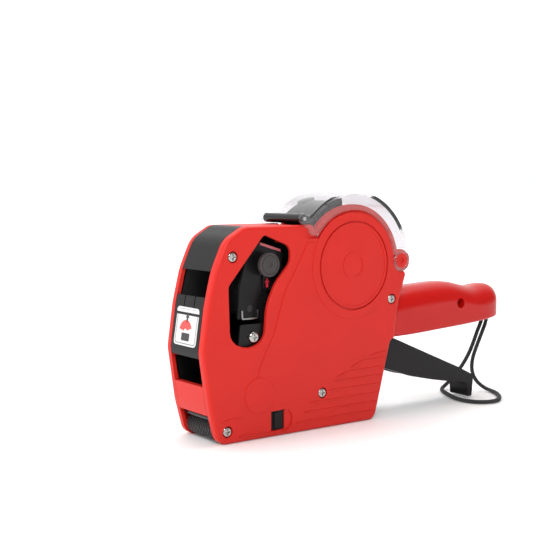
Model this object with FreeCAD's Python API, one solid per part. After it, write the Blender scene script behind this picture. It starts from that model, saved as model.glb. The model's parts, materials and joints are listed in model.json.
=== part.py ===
import FreeCAD, Part
import math
import os

V = FreeCAD.Vector

# Price labeling gun, millimetres.  X runs from the nose to the handle's end, Y across, Z up.
# The origin is on the flat base.  "Depth" below is the distance from the middle plane Y = 0.

# ---- driving dimensions -------------------------------------------------------------------------
HALF_WIDTH = 17.0            # outer face of the side covers
COVER_WALL = 2.0
COVER_FACE_INNER = HALF_WIDTH - COVER_WALL
RIM_ROUND = 1.7              # rounding of the covers' outer edge
WINDOW_ROUND = 0.6
RIM_INNER = 12.9             # inner edge of the covers' rim walls
BETWEEN = 12.7               # half width of the pieces that fill the gap between the covers
RECESS_FACE = 15.5           # the lid's side flanges lie in a recess of this depth
RECESS_BACK = 14.1
PLATE_OUT, PLATE_IN = 14.0, 12.9
CARRIER_OUT, CARRIER_IN = 12.6, 11.8
ARM_OUT, ARM_IN = 11.5, 10.5
HEAD_OUT = 10.4
FORK_OUT, FORK_IN = 10.2, 9.4

ROLL = (23.7, 83.6)          # centre of the label roll, the dome and the rings round it
COVER_RIM_R = 32.0
RECESS_R = 28.0
LID_R = 38.9
LID_WALL = 1.6
LID_FLANGE_R = 29.2
LID_FLANGE_IN = 15.6
LID_HINGE = (57.5, 84.8)
LID_BOSS_R = 4.0
LID_EAR_R = 5.8
GUIDE = (-9.3, 108.6)        # guide roller in the lid's front ears
GUIDE_R = 2.5

BODY_TOP = 105.5
TRIGGER = (38.0, 42.0)
TRIGGER_PIN_R = 2.5
ARM = (14.0, 52.0)
ARM_PIN_R = 2.0
DRIVE = (-25.0, 50.0)        # drive pin at the end of the trigger's fork
DRIVE_PIN_R = 1.2
CARRIER = (-39.2, 50.8)      # pivot of the ink roller's carrier
CARRIER_PIN_R = 1.5
INK_ARM = 19.7
INK_REST_DEG = 240.0
INK = (CARRIER[0] + INK_ARM * math.cos(math.radians(INK_REST_DEG)),
       CARRIER[1] + INK_ARM * math.sin(math.radians(INK_REST_DEG)))
INK_R = 5.4
FEED = (-37.2, 21.9)
FEED_R = 7.6
PAWL = (-22.5, 15.5)
PRESS = (-56.3, 6.1)         # applicator roller that presses the label down
PRESS_R = 5.4
KNOB = (-30.6, 86.3)
KNOB_R = 6.05
ANVIL = (-38.6, 64.6)        # bottom turn of the type bands
INK_HINGE = (-66.2, 43.4)
BASE_HINGE = (33.0, 2.9)
SPINDLE_R, SPINDLE_HALF = 10.6, 10.9   # hub that carries the label roll's core
RUN = 0.05                   # radial clearance of a pin that turns in its bore
SCREW_POINTS = ((-53.0, 91.0), (50.6, 64.3), (2.8, 18.5), PRESS)
SCREW_HEAD_R = 2.5
HANDLE_SCREW = (108.0, 57.8)
HANDLE_HALF = 13.2
HANDLE_INNER = 10.8
TRIGGER_HALF = 10.0
TRIGGER_TIP_HALF = 6.9
LATCH = (-30.0, -21.8, 3.2, 12.7)

STRAP_R = 1.25
STRAP_ROOM = (136.8, 143.8, -4.4, 2.6)  # pocket in the handle's end that the strap hangs from
STRAP_TOP = 50.0             # bottom face of the anchor, where both ends of the strap start

# Side outline of a cover: x, z and corner radius.
BODY_OUTLINE = (
    (-45.8, BODY_TOP, 9), (-56.6, 99.2, 14), (-63.2, 84.6, 40), (-67.3, 67.8, 60),
    (-70.4, 45.5, 14), (-66.4, 18.5, 40), (-61.4, 0, 7), (39.2, 0, 5), (50.3, 41.2, 2),
    (53.3, 43.0, 2), (55.8, 61.5, 25), (61.8, 78.6, 2.2), (54.0, 80.5, 3), (30.0, 84.0, 6),
    (-1.0, 100.0, 4), (-3.5, BODY_TOP, 1.8))
WINDOW = (
    (-34.3, 101.4, 3), (-17.9, 94.9, 5), (-18.1, 87.0, 6), (-27.2, 77.2, 18), (-32.6, 66.0, 25),
    (-34.0, 49.0, 8), (-43.8, 45.4, 13), (-54.5, 49.6, 8), (-55.4, 76.8, 4))


# ---- shape helpers ------------------------------------------------------------------------------
def rounded_wire(corners):
    """Closed wire in the XZ plane through (x, z, radius) corners, rounded by tangent arcs."""
    count = len(corners)
    turns = []
    for i, (x, z, radius) in enumerate(corners):
        here = V(x, 0, z)
        if radius == 0:
            turns.append((here, None, here))
            continue
        back = V(corners[i - 1][0], 0, corners[i - 1][1]) - here
        ahead = V(corners[(i + 1) % count][0], 0, corners[(i + 1) % count][1]) - here
        room = 0.48 * min(back.Length, ahead.Length)
        back.normalize()
        ahead.normalize()
        half = back.getAngle(ahead) / 2
        radius = min(radius, room * math.tan(half))
        inward = back + ahead
        inward.normalize()
        reach = radius / math.tan(half)
        middle = here + inward * (radius / math.sin(half) - radius)
        turns.append((here + back * reach, middle, here + ahead * reach))
    edges = []
    for i, (start, middle, stop) in enumerate(turns):
        if middle is not None:
            edges.append(Part.Arc(start, middle, stop).toShape())
        following = turns[(i + 1) % count][0]
        if stop.distanceToPoint(following) > 1e-6:
            edges.append(Part.LineSegment(stop, following).toShape())
    return Part.Wire(edges)


def wire_slab(wire, y0, y1):
    """Solid of an XZ wire, from y0 to y1."""
    face = Part.Face(wire)
    face.translate(V(0, y0, 0))
    return face.extrude(V(0, y1 - y0, 0))


def slab(corners, y0, y1):
    return wire_slab(rounded_wire(corners), y0, y1)


def round_bar(centre, radius, y0, y1):
    """Cylinder along Y."""
    return Part.makeCylinder(radius, y1 - y0, V(centre[0], y0, centre[1]), V(0, 1, 0))


def tube(centre, outer, inner, y0, y1):
    return round_bar(centre, outer, y0, y1).cut(round_bar(centre, inner, y0 - 1, y1 + 1))


def block(x0, x1, y0, y1, z0, z1):
    return Part.makeBox(x1 - x0, y1 - y0, z1 - z0, V(x0, y0, z0))


def join(shapes):
    first = shapes[0]
    return first.multiFuse(shapes[1:]).removeSplitter() if len(shapes) > 1 else first


def sided(shape, side):
    """A piece modelled at Y > 0, kept for side +1 or mirrored for side -1."""
    return shape if side > 0 else shape.mirror(V(0, 0, 0), V(0, 1, 0))


def both_sides(shape):
    return [shape, sided(shape, -1)]


def polar(centre, radius, degrees):
    angle = math.radians(degrees)
    return (centre[0] + radius * math.cos(angle), centre[1] + radius * math.sin(angle))


def fan(centre, radius, start_deg, stop_deg, y0, y1):
    """Pie slice about a Y axis, from start_deg to stop_deg."""
    disc = Part.makeCylinder(radius, y1 - y0, V(centre[0], y1, centre[1]), V(0, -1, 0),
                             stop_deg - start_deg)
    first = math.degrees(math.atan2(disc.CenterOfMass.z - centre[1],
                                    disc.CenterOfMass.x - centre[0]))
    wanted = (start_deg + stop_deg) / 2
    disc.rotate(V(centre[0], 0, centre[1]), V(0, -1, 0), wanted - first)
    return disc


def ribbon(points, width, y0, y1):
    """Raised line of constant width through (x, z) points."""
    pieces = [round_bar(point, width / 2, y0, y1) for point in points]
    for (xa, za), (xb, zb) in zip(points, points[1:]):
        length = math.hypot(xb - xa, zb - za)
        piece = block(0, length, y0, y1, -width / 2, width / 2)
        piece.rotate(V(0, 0, 0), V(0, -1, 0), math.degrees(math.atan2(zb - za, xb - xa)))
        piece.translate(V(xa, 0, za))
        pieces.append(piece)
    return join(pieces)


def offset_outline(offset):
    """The body's side outline, moved outwards by an offset."""
    wire = rounded_wire(BODY_OUTLINE)
    return wire.makeOffset2D(offset) if offset else wire


def outline_band(inner_offset, outer_offset, half_width, z0, z1, x0, x1):
    """Part of the body's skin between two offsets of the side outline, within a box."""
    ring = wire_slab(offset_outline(outer_offset), -half_width, half_width).cut(
        wire_slab(offset_outline(inner_offset), -half_width - 1, half_width + 1))
    return ring.common(block(x0, x1, -half_width, half_width, z0, z1))


# ---- side covers --------------------------------------------------------------------------------
def cover_outline(y0, y1):
    return join([slab(BODY_OUTLINE, y0, y1), round_bar(ROLL, COVER_RIM_R, y0, y1),
                 round_bar(LID_HINGE, LID_EAR_R + 0.4, y0, y1)])


def cover_cavity(y0, y1):
    inner = rounded_wire(BODY_OUTLINE).makeOffset2D(-COVER_WALL)
    return join([wire_slab(inner, y0, y1), round_bar(ROLL, COVER_RIM_R - COVER_WALL, y0, y1)])


def lid_zone(grow, y0, y1):
    """Where the lid's flange lies on the cover: a ring, the front hook and the hinge ear."""
    ring = fan(ROLL, 50, 2 - grow * 3, 148 + grow * 2, y0, y1).cut(
        round_bar(ROLL, RECESS_R - grow, y0 - 1, y1 + 1))
    hook = slab(((-11.0 - grow, 112, 0), (-11.0 - grow, 104.2, 3), (-8.6 - grow, 98.5 - grow, 4),
                 (1.0, 98.5 - grow, 0), (12.0, 112, 0)), y0, y1)
    return join([ring, hook, round_bar(LID_HINGE, LID_EAR_R + 0.4 + grow, y0, y1)])


RELIEF = 0.35                # height of the raised areas on a cover's flat face
RELIEF_ROOT = 0.3            # how far they reach into the wall
DISC_R, DISC_INNER_R = 27.9, 21.3
FEED_DISC_R = 8.9
RIBS = (
    ((36.4, 35.0), (47.2, 36.3)), ((22.8, 30.1), (29.5, 32.6), (46.0, 32.9)),
    ((13.1, 25.7), (18.0, 27.6), (45.0, 28.3)), ((11.5, 23.7), (43.8, 23.7)),
    ((7.5, 19.2), (42.6, 19.2)), ((-4.5, 14.2), (41.2, 14.2)), ((-9.1, 9.7), (40.0, 9.7)),
    ((-13.4, 4.9), (38.4, 4.9)))
LOW_LINES = (((-49.2, 2.9), (-33.0, 2.2), (-18.4, 2.2)), ((-59.4, 10.9), (-53.0, 12.2), (-47.8, 11.4)))
PLATEAU = (                  # raised area from the lid's hook down to the feed wheel's disc
    (-7.2, 96.6, 1), (-16.2, 81.2, 20), (-22.0, 72.3, 20), (-28.6, 51.6, 30), (-33.2, 43.5, 20),
    (-37.6, 35.1, 10), (-38.4, 30.0, 0), (-30.0, 26.0, 0), (-21.6, 42.9, 20), (-17.8, 52.1, 30),
    (-9.7, 71.0, 20), (-5.6, 80.1, 10), (-5.0, 90.0, 20), (-3.0, 96.6, 1))


def top_rounded(shape, top, radius):
    """Rounds the edges that lie in the plane y = top."""
    return shape.makeFillet(radius, outer_edges(shape, top))


def cover_relief(face):
    """Raised ribs, lines, discs and the long plateau on a cover's flat face."""
    root = face - RELIEF_ROOT
    top = face + RELIEF
    pieces = [ribbon(points, 0.8, root, top) for points in RIBS]
    pieces += [ribbon(points, 0.8, root, top) for points in LOW_LINES]
    pieces.append(slab(PLATEAU, root, top - 0.05))
    pieces.append(top_rounded(tube(ROLL, DISC_R, DISC_INNER_R, root, top), top, 0.25))
    pieces.append(tube(ROLL, 7.4, 5.8, root, top - 0.1))
    pieces.append(top_rounded(round_bar(FEED, FEED_DISC_R, root, top + 0.15), top + 0.15, 0.3))
    return pieces


def outer_edges(shape, face):
    """Edges that lie in the plane y = face."""
    return [edge for edge in shape.Edges
            if abs(edge.BoundBox.YMin - face) < 0.01 and abs(edge.BoundBox.YMax - face) < 0.01]


def side_cover(side):
    body = slab(BODY_OUTLINE, RIM_INNER, HALF_WIDTH)
    body = body.makeFillet(RIM_ROUND, outer_edges(body, HALF_WIDTH))
    if side < 0:
        body = body.cut(slab(WINDOW, 10, 20))
        window_edges = [edge for edge in outer_edges(body, HALF_WIDTH)
                        if -57 < edge.CenterOfMass.x < -17 and 44 < edge.CenterOfMass.z < 102]
        body = body.makeFillet(WINDOW_ROUND, window_edges)
    body = join([body, round_bar(ROLL, COVER_RIM_R, RIM_INNER, HALF_WIDTH),
                 round_bar(LID_HINGE, LID_EAR_R + 0.4, RIM_INNER, HALF_WIDTH)])
    body = body.cut(cover_cavity(RIM_INNER - 1, COVER_FACE_INNER))
    body = body.cut(lid_zone(0, RECESS_FACE, HALF_WIDTH + 1))
    skin = cover_outline(RECESS_BACK, RECESS_FACE).common(lid_zone(1.5, RECESS_BACK, RECESS_FACE))
    bosses = [round_bar(point, 3.6, RECESS_BACK, COVER_FACE_INNER + 0.5) for point in SCREW_POINTS]
    hinge = round_bar(LID_HINGE, LID_BOSS_R, RECESS_FACE - 0.5, HALF_WIDTH)
    ink_boss = round_bar(INK_HINGE, 2.3, RIM_INNER, COVER_FACE_INNER + 0.5)
    body = join([body, skin, hinge, ink_boss] + bosses)
    body = join([body] + cover_relief(HALF_WIDTH))
    for point in SCREW_POINTS:
        body = body.cut(round_bar(point, SCREW_HEAD_R + 0.4, HALF_WIDTH - 1.7, HALF_WIDTH + 1))
        body = body.cut(round_bar(point, 1.3, 10, HALF_WIDTH))
    body = body.cut(round_bar(INK_HINGE, 0.9, 12, 14.4))
    body = body.cut(round_bar(LID_HINGE, 1.7, HALF_WIDTH - 0.8, HALF_WIDTH + 1))
    x0, x1, z0, z1 = LATCH
    body = body.cut(block(x0 - 0.25, x1 + 0.25, 10, 20, z0 - 0.25, z1 + 0.25))
    thumb = round_bar((-22.5, 7.8), 5.6, HALF_WIDTH - 0.7, HALF_WIDTH + 1)
    body = body.cut(thumb)
    groove = tube(ROLL, 23.5, 22.5, HALF_WIDTH - 0.5, HALF_WIDTH + 1)
    body = body.cut(groove)
    body = body.cut(round_bar(BASE_HINGE, 1.2, 12, 14.4))
    return sided(body, side)


def cross_recess(point, head_top):
    """Cross cut 1 mm deep into a screw head."""
    long, short = 1.6, 0.4
    x, z = point
    return join([block(x - long, x + long, head_top - 1.0, head_top + 1, z - short, z + short),
                 block(x - short, x + short, head_top - 1.0, head_top + 1, z - long, z + long)])


def screw(point, head_top, tip, side):
    """Pan-head cross-recess screw along Y, its tip towards the middle plane."""
    head = round_bar(point, SCREW_HEAD_R, head_top - 1.5, head_top)
    head = head.makeFillet(0.8, [edge for edge in head.Edges if edge.CenterOfMass.y > head_top - 0.1
                                 and edge.Closed])
    shank = round_bar(point, 1.2, tip, head_top - 1.5)
    return sided(head.fuse(shank).cut(cross_recess(point, head_top)), side)


def cover_screws():
    shapes = []
    for side in (-1, 1):
        for point in SCREW_POINTS:
            shapes.append(screw(point, HALF_WIDTH - 0.15, 9.6, side))
    return Part.makeCompound(shapes)


# ---- inner frame --------------------------------------------------------------------------------
PLATE_REAR = (
    (-7.5, 102.5, 2), (-6.5, 96.5, 2), (4.0, 88.0, 0), (50.0, 78.0, 0), (52.5, 64.0, 2),
    (47.3, 42.5, 2), (37.0, 5.0, 3), (35.0, 2.6, 2), (-56.5, 2.6, 2), (-61.0, 14.0, 3))
PLATE_NOSE_NEAR = (          # leaves the cover's window open
    (-63.2, 30.0, 3), (-48.5, 40.0, 4), (-46.8, 57.3, 1.2), (-33.6, 57.3, 1.2), (-31.5, 49.5, 2),
    (-28.0, 62.0, 6), (-16.5, 82.0, 8), (-14.5, 102.5, 2))
PLATE_NOSE_FAR = (
    (-66.4, 36.0, 3), (-67.6, 46.0, 8), (-65.0, 66.0, 30), (-60.4, 83.6, 20), (-53.6, 97.6, 6),
    (-45.0, 102.5, 4))


def frame_plate(side):
    nose = PLATE_NOSE_FAR if side > 0 else PLATE_NOSE_NEAR
    plate = slab(PLATE_REAR + nose, PLATE_IN, PLATE_OUT)
    plate = plate.fuse(round_bar(ROLL, 29.6, PLATE_IN, PLATE_OUT))
    for centre, radius in ((TRIGGER, TRIGGER_PIN_R), (ARM, ARM_PIN_R), (CARRIER, CARRIER_PIN_R),
                           (FEED, 2.0 + RUN), (ROLL, 3.0), (BASE_HINGE, 1.2), (INK_HINGE, 2.6)):
        plate = plate.cut(round_bar(centre, radius, 10, 16))
    for point in SCREW_POINTS:
        plate = plate.cut(round_bar(point, 1.3, 10, 16))
    x0, x1, z0, z1 = LATCH
    plate = plate.cut(block(x0 - 1.6, x1 + 1.6, 10, 16, z0 - 1.4, z1 + 1.6))
    return sided(plate.removeSplitter(), side)


def spacer_posts():
    shapes = []
    for point, bore in ((SCREW_POINTS[2], 1.2), ((31.0, 14.0), 0)):
        post = round_bar(point, 3.4, -PLATE_IN, PLATE_IN)
        if bore:
            post = post.cut(round_bar(point, bore, -PLATE_IN - 1, -9.6)).cut(
                round_bar(point, bore, 9.6, PLATE_IN + 1))
        shapes.append(post)
    return Part.makeCompound(shapes)


def nose_cap():
    shell = outline_band(-2.4, 0, BETWEEN, 84.3, 110, -80, -43.0)
    post = round_bar(SCREW_POINTS[0], 3.4, -BETWEEN, BETWEEN)
    web = block(-60.5, -53, -1.5, 1.5, 90, 92)
    cap = join([shell, post, web.common(slab(BODY_OUTLINE, -3, 3))])
    for side in (-1, 1):
        cap = cap.cut(sided(round_bar(SCREW_POINTS[0], 1.2, 9.6, 15), side))
    return cap


def top_bridge():
    return outline_band(-2.4, 0, BETWEEN, 100, 110, -42.7, -13.5)


def front_bridge():
    return outline_band(-3.2, 0, BETWEEN, 14.4, 28.8, -80, -50)


def peel_bar():
    """Smooth bar over which the backing strip turns sharply."""
    bar = round_bar((-61.2, 12.3), 1.3, -BETWEEN, BETWEEN)
    strap = block(-61.2, -56.0, -BETWEEN, BETWEEN, 12.6, 13.6)
    return bar.fuse(strap).removeSplitter()


def label_guide():
    floor = block(-47, 27, -9.6, 9.6, 10.4, 11.5)
    rails = [block(-47, 27, y, y + 0.9, 10.4, 12.4) for y in (-9.6, 8.7)]
    return join([floor] + rails)


def pin_through(centre, radius, half):
    """Pin across the frame with slightly rounded ends."""
    pin = round_bar(centre, radius, -half, half)
    return pin.makeChamfer(0.3, [edge for edge in pin.Edges if edge.Closed])


def pivot_screws():
    """Two short pivot screws that carry the ink roller's carrier."""
    shapes = []
    for side, height in ((-1, 1.5), (1, 0.9)):
        top = PLATE_OUT + height
        head = round_bar(CARRIER, 2.9, PLATE_OUT, top)
        head = head.makeFillet(0.7 * height, outer_edges(head, top))
        shank = round_bar(CARRIER, CARRIER_PIN_R, CARRIER_IN, PLATE_OUT)
        shapes.append(sided(head.fuse(shank).cut(cross_recess(CARRIER, top)), side))
    return Part.makeCompound(shapes)


# ---- handle -------------------------------------------------------------------------------------
HANDLE_STATIONS = (          # x, bottom z, top z, half width
    (50.5, 42.3, 66.4, HANDLE_HALF), (65.0, 42.7, 68.0, HANDLE_HALF),
    (80.0, 43.3, 69.4, HANDLE_HALF), (96.0, 44.2, 70.1, HANDLE_HALF),
    (112.0, 45.1, 68.6, HANDLE_HALF), (126.0, 46.2, 66.2, HANDLE_HALF),
    (134.0, 47.0, 66.9, 12.7), (138.8, 47.5, 66.9, 11.6), (141.8, 47.8, 65.9, 9.9),
    (144.0, 48.1, 63.6, 7.6), (145.4, 48.3, 60.2, 5.2))


def handle_section(x, low, high, half):
    """Rounded cross-section of the handle, crowned at the top."""
    top_r = min(11.5, half - 1)
    low_r = 1.6
    lean = math.sqrt(0.5)
    points = (V(x, -half, low + low_r), V(x, -half, high - top_r),
              V(x, -half + top_r, high), V(x, half - top_r, high),
              V(x, half, high - top_r), V(x, half, low + low_r),
              V(x, half - low_r, low), V(x, -half + low_r, low))
    mids = (V(x, -half + top_r * (1 - lean), high - top_r * (1 - lean)),
            V(x, half - top_r * (1 - lean), high - top_r * (1 - lean)),
            V(x, half - low_r * (1 - lean), low + low_r * (1 - lean)),
            V(x, -half + low_r * (1 - lean), low + low_r * (1 - lean)))
    edges = [Part.LineSegment(points[0], points[1]).toShape(),
             Part.Arc(points[1], mids[0], points[2]).toShape(),
             Part.LineSegment(points[2], points[3]).toShape(),
             Part.Arc(points[3], mids[1], points[4]).toShape(),
             Part.LineSegment(points[4], points[5]).toShape(),
             Part.Arc(points[5], mids[2], points[6]).toShape(),
             Part.LineSegment(points[6], points[7]).toShape(),
             Part.Arc(points[7], mids[3], points[0]).toShape()]
    return Part.Wire(edges)


def handle_body():
    outer = Part.makeLoft([handle_section(*station) for station in HANDLE_STATIONS], True, False,
                           False, 3)
    cavity = slab(((30, 30, 0), (30, 51, 0), (60, 51, 3), (66, 59.5, 4), (98, 61.0, 20),
                   (124, 58.0, 8), (134.0, 57, 4), (134.6, 30, 0)), -HANDLE_INNER, HANDLE_INNER)
    post = round_bar(HANDLE_SCREW, 4.6, -HANDLE_HALF + 1, HANDLE_HALF - 1)
    body = outer.cut(cavity).fuse(post.common(outer))
    rear = rounded_wire(BODY_OUTLINE).makeOffset2D(0.25)
    for side in (-1, 1):
        body = body.cut(sided(wire_slab(rear, RIM_INNER - 0.15, HALF_WIDTH + 2), side))
        body = body.cut(sided(round_bar(HANDLE_SCREW, 2.9, 5.4, HALF_WIDTH), side))
    tongue = slab(((45.5, 52.0, 1), (45.5, 62.0, 1), (52.0, 75.5, 2), (57.6, 75.5, 2),
                   (56.5, 66.0, 4), (60.0, 60.0, 2), (60.0, 52.0, 1)), -BETWEEN + 0.1, BETWEEN - 0.1)
    body = body.fuse(tongue)
    for side in (-1, 1):
        body = body.cut(sided(round_bar(SCREW_POINTS[1], 1.2, 9.6, 15), side))
    body = body.cut(round_bar(HANDLE_SCREW, 1.2, -8, 8))
    strap_room = block(*STRAP_ROOM, 40, 56)
    return body.cut(strap_room)


def handle_half(side, body):
    half = block(40, 160, 0, 30, 30, 90) if side > 0 else block(40, 160, -30, 0, 30, 90)
    return body.common(half).removeSplitter()


def handle_screw():
    head = round_bar(HANDLE_SCREW, 2.6, 5.4, 6.9)
    shank = round_bar(HANDLE_SCREW, 1.2, -5.5, 6.0)
    return sided(head.fuse(shank).cut(cross_recess(HANDLE_SCREW, 6.9)), -1)


def strap_anchor():
    """Block in the end of the handle that both ends of the strap are tied into."""
    x0, x1, y0, y1 = STRAP_ROOM
    return block(x0 + 0.3, x1 - 0.3, y0 + 0.3, y1 - 0.3, STRAP_TOP, 55.6)


# ---- trigger ------------------------------------------------------------------------------------
def trigger_plan():
    """Plan outline of the trigger, as a tall prism: it narrows towards its tip."""
    corners = [V(20, -TRIGGER_HALF, 0), V(50, -TRIGGER_HALF, 0), V(128, -TRIGGER_TIP_HALF, 0),
               V(128, TRIGGER_TIP_HALF, 0), V(50, TRIGGER_HALF, 0), V(20, TRIGGER_HALF, 0)]
    return Part.Face(Part.makePolygon(corners + corners[:1])).extrude(V(0, 0, 80))


def trigger_lever():
    outline = ((34.0, 46.5, 4), (44.0, 47.5, 4), (60.4, 40.8, 6), (86.0, 30.3, 0), (112.8, 19.4, 0),
               (125.8, 13.4, 1.5), (124.4, 1.0, 0.8), (121.2, 1.0, 0.8), (120.2, 9.4, 2),
               (104.3, 12.0, 3), (89.6, 14.8, 20), (73.0, 18.5, 20), (52.0, 25.4, 3),
               (44.0, 34.0, 4), (34.0, 36.0, 4))
    body = slab(outline, -TRIGGER_HALF, TRIGGER_HALF).common(trigger_plan())
    hollow = slab(((40.0, 26, 0), (46.0, 43.5, 2), (60.0, 38.5, 4), (84.0, 28.6, 0),
                   (107.0, 19.0, 2), (102.0, 8, 0), (48.0, 8, 0)), -5.6, 5.6)
    body = body.cut(hollow)
    narrow = [sided(block(20, 51.0, FORK_IN - 0.1, 14, 20, 60), side) for side in (-1, 1)]
    body = body.cut(join(narrow))
    body = body.cut(block(30, 44.5, -6, 6, 30, 60))
    body = body.cut(round_bar(TRIGGER, TRIGGER_PIN_R + RUN, -20, 20))
    return body.removeSplitter()


def drive_fork():
    """Two side bars that carry the trigger's motion forward to the printing arm."""
    bar = slab(((44.5, 39.0, 3), (44.5, 45.5, 3), (34.0, 46.2, 4), (14.0, 46.9, 20),
                (-8.0, 49.4, 20), (-24.0, 52.6, 2.4),
                (-28.0, 50.4, 2.4), (-26.0, 47.4, 2.4), (30.0, 38.4, 4)), FORK_IN, FORK_OUT)
    bar = bar.cut(round_bar(TRIGGER, TRIGGER_PIN_R + RUN, 5, 15))
    tie = round_bar((2.0, 46.55), 1.9, -FORK_IN - 0.2, FORK_IN + 0.2)
    return join(both_sides(bar) + [tie])


def drive_pins():
    return Part.makeCompound(both_sides(round_bar(DRIVE, DRIVE_PIN_R, FORK_OUT, ARM_OUT)))


def trigger_spring():
    """Torsion spring round the trigger's pin."""
    wire_r = 0.55
    coils = []
    for turn in range(5):
        coils.append(Part.makeTorus(4.6, wire_r, V(TRIGGER[0], -2.2 + 1.08 * turn, TRIGGER[1]),
                                    V(0, 1, 0)))
    leg_a = Part.makeCylinder(wire_r, 11, V(TRIGGER[0] - 1, -2.2, TRIGGER[1] + 4.6), V(-1, 0, 0.12))
    leg_b = Part.makeCylinder(wire_r, 6.5, V(TRIGGER[0], 2.12, TRIGGER[1] - 4.6), V(1, 0, -0.1))
    return join(coils + [leg_a, leg_b])


# ---- printing arm and head ----------------------------------------------------------------------
HEAD_WALL = 1.2
HEAD_TOP = ((-17.2, 91.4), (-34.6, 96.6))   # the head's top edge falls towards the rear
HEAD_FRONT = ((*HEAD_TOP[0], 2), (*HEAD_TOP[1], 3), (-41.0, 88.6, 8), (-44.5, 76.0, 20),
              (-46.0, 59.6, 1))


def print_arm():
    bar = slab(((14, 58.2, 0), (4.0, 60.0, 10), (-17.0, 76.0, 10), (-20.5, 90.0, 1.5),
                (-23.6, 90.0, 1.5), (-25.2, 82.0, 3), (-25.4, 71.6, 2), (-33.2, 70.2, 2),
                (-33.0, 46.6, 3), (-24.0, 45.8, 3),
                (2.0, 49.3, 4), (14, 46.0, 0)), ARM_IN, ARM_OUT)
    bar = bar.fuse(round_bar(ARM, 6.2, ARM_IN, ARM_OUT))
    slot = ribbon((DRIVE, (-27.3, 50.3), (-30.2, 51.5)), 2 * DRIVE_PIN_R + 0.6, 9, 13)
    bar = bar.cut(slot)
    hub = round_bar(ARM, 3.6, -ARM_IN - 0.2, ARM_IN + 0.2)
    arm = join(both_sides(bar) + [hub])
    return arm.cut(round_bar(ARM, ARM_PIN_R + RUN, -20, 20))


def head_housing():
    """Two cheeks, a back wall and a top that hold the setting wheels and type bands."""
    outline = HEAD_FRONT + ((-30.4, 59.6, 1), (-27.6, 73.0, 10), (-20.0, 85.0, 6))
    cheeks = both_sides(slab(outline, HEAD_OUT - 1.4, HEAD_OUT))
    inner = [(x - HEAD_WALL, z - HEAD_WALL, radius) for x, z, radius in outline]
    back = slab(outline, -HEAD_OUT + 1.2, HEAD_OUT - 1.2).cut(slab(inner, -HEAD_OUT, HEAD_OUT))
    back = back.common(block(-34.5, -16, -HEAD_OUT, HEAD_OUT, 62, 98))
    body = join(cheeks + [back])
    body = body.cut(round_bar(KNOB, 1.75, -20, 20))
    return body.cut(round_bar(ANVIL, 1.6, -20, 20))


def head_front_cover():
    """Glossy plate that closes the front of the head."""
    return slab(((-34.9, 95.2, 0), (-40.3, 88.3, 8), (-43.7, 75.8, 20), (-45.2, 63.0, 0),
                 (-43.9, 63.0, 0), (-42.4, 76.2, 20), (-39.1, 88.9, 8), (-34.1, 94.6, 0)),
                -HEAD_OUT + 1.5, HEAD_OUT - 1.5)


BAND_COUNT = 8
BAND_PITCH = 2.1
BAND_WIDTH = 1.85


def band_places():
    first = -BAND_PITCH * (BAND_COUNT - 1) / 2
    return [first + BAND_PITCH * i for i in range(BAND_COUNT)]


def setting_wheels():
    shapes = []
    for y in band_places():
        wheel = tube(KNOB, 5.2, 1.75, y - BAND_WIDTH / 2, y + BAND_WIDTH / 2)
        shapes.append(wheel)
    return Part.makeCompound(shapes)


def band_loop(wheel_r, turn_r):
    """Outline corners of a belt round the setting wheel and the anvil."""
    dx = KNOB[0] - ANVIL[0]
    dz = KNOB[1] - ANVIL[1]
    length = math.hypot(dx, dz)
    lean = math.degrees(math.atan2(dz, dx))
    open_deg = 90 + math.degrees(math.asin((wheel_r - turn_r) / length))
    upper = [polar(KNOB, wheel_r, lean - open_deg), polar(KNOB, wheel_r, lean),
             polar(KNOB, wheel_r, lean + open_deg)]
    lower = [polar(ANVIL, turn_r, lean + open_deg), polar(ANVIL, turn_r, lean + 180),
             polar(ANVIL, turn_r, lean - open_deg)]
    points = [[V(x, 0, z) for x, z in group] for group in (upper, lower)]
    edges = [Part.Arc(*points[0]).toShape(), Part.LineSegment(points[0][2], points[1][0]).toShape(),
             Part.Arc(*points[1]).toShape(), Part.LineSegment(points[1][2], points[0][0]).toShape()]
    return Part.Wire(edges)


def type_bands():
    """Rubber print bands, one for each digit, with raised blocks at their lower turn."""
    shapes = []
    for y in band_places():
        y0, y1 = y - BAND_WIDTH / 2, y + BAND_WIDTH / 2
        inside = wire_slab(band_loop(5.3, 2.9), y0 - 1, y1 + 1)
        shapes.append(wire_slab(band_loop(6.1, 3.7), y0, y1).cut(inside))
    return Part.makeCompound(shapes)


def band_anvil():
    core = round_bar(ANVIL, 2.8, -HEAD_OUT + 1.6, HEAD_OUT - 1.6)
    return core.fuse(round_bar(ANVIL, 1.6, -HEAD_OUT, HEAD_OUT)).removeSplitter()


POINTER = (-31.3, -25.8, 73.2, 80.7)


def pointer_frame():
    """Raised frame on the near cheek round the column pointer."""
    x0, x1, z0, z1 = POINTER
    rim = 0.8
    outer = slab(((x0, z0, 0.6), (x1, z0, 0.6), (x1, z1, 0.6), (x0, z1, 0.6)), ARM_IN, ARM_OUT + 0.1)
    inner = slab(((x0 + rim, z0 + rim, 0.3), (x1 - rim, z0 + rim, 0.3), (x1 - rim, z1 - rim, 0.3),
                  (x0 + rim, z1 - rim, 0.3)), ARM_IN + 0.4, ARM_OUT + 1)
    return sided(outer.cut(inner), -1)


def red_pointer():
    x0, x1, z0, z1 = POINTER
    mid = (x0 + x1) / 2
    head, stem = 1.4, 0.6    # half widths
    tip, neck, foot = z1 - 1.3, z1 - 3.6, z0 + 1.4
    arrow = slab(((mid, tip, 0), (mid - head, neck, 0), (mid - stem, neck, 0), (mid - stem, foot, 0),
                  (mid + stem, foot, 0), (mid + stem, neck, 0), (mid + head, neck, 0)),
                 ARM_IN + 0.45, ARM_OUT - 0.1)
    return sided(arrow, -1)


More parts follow.
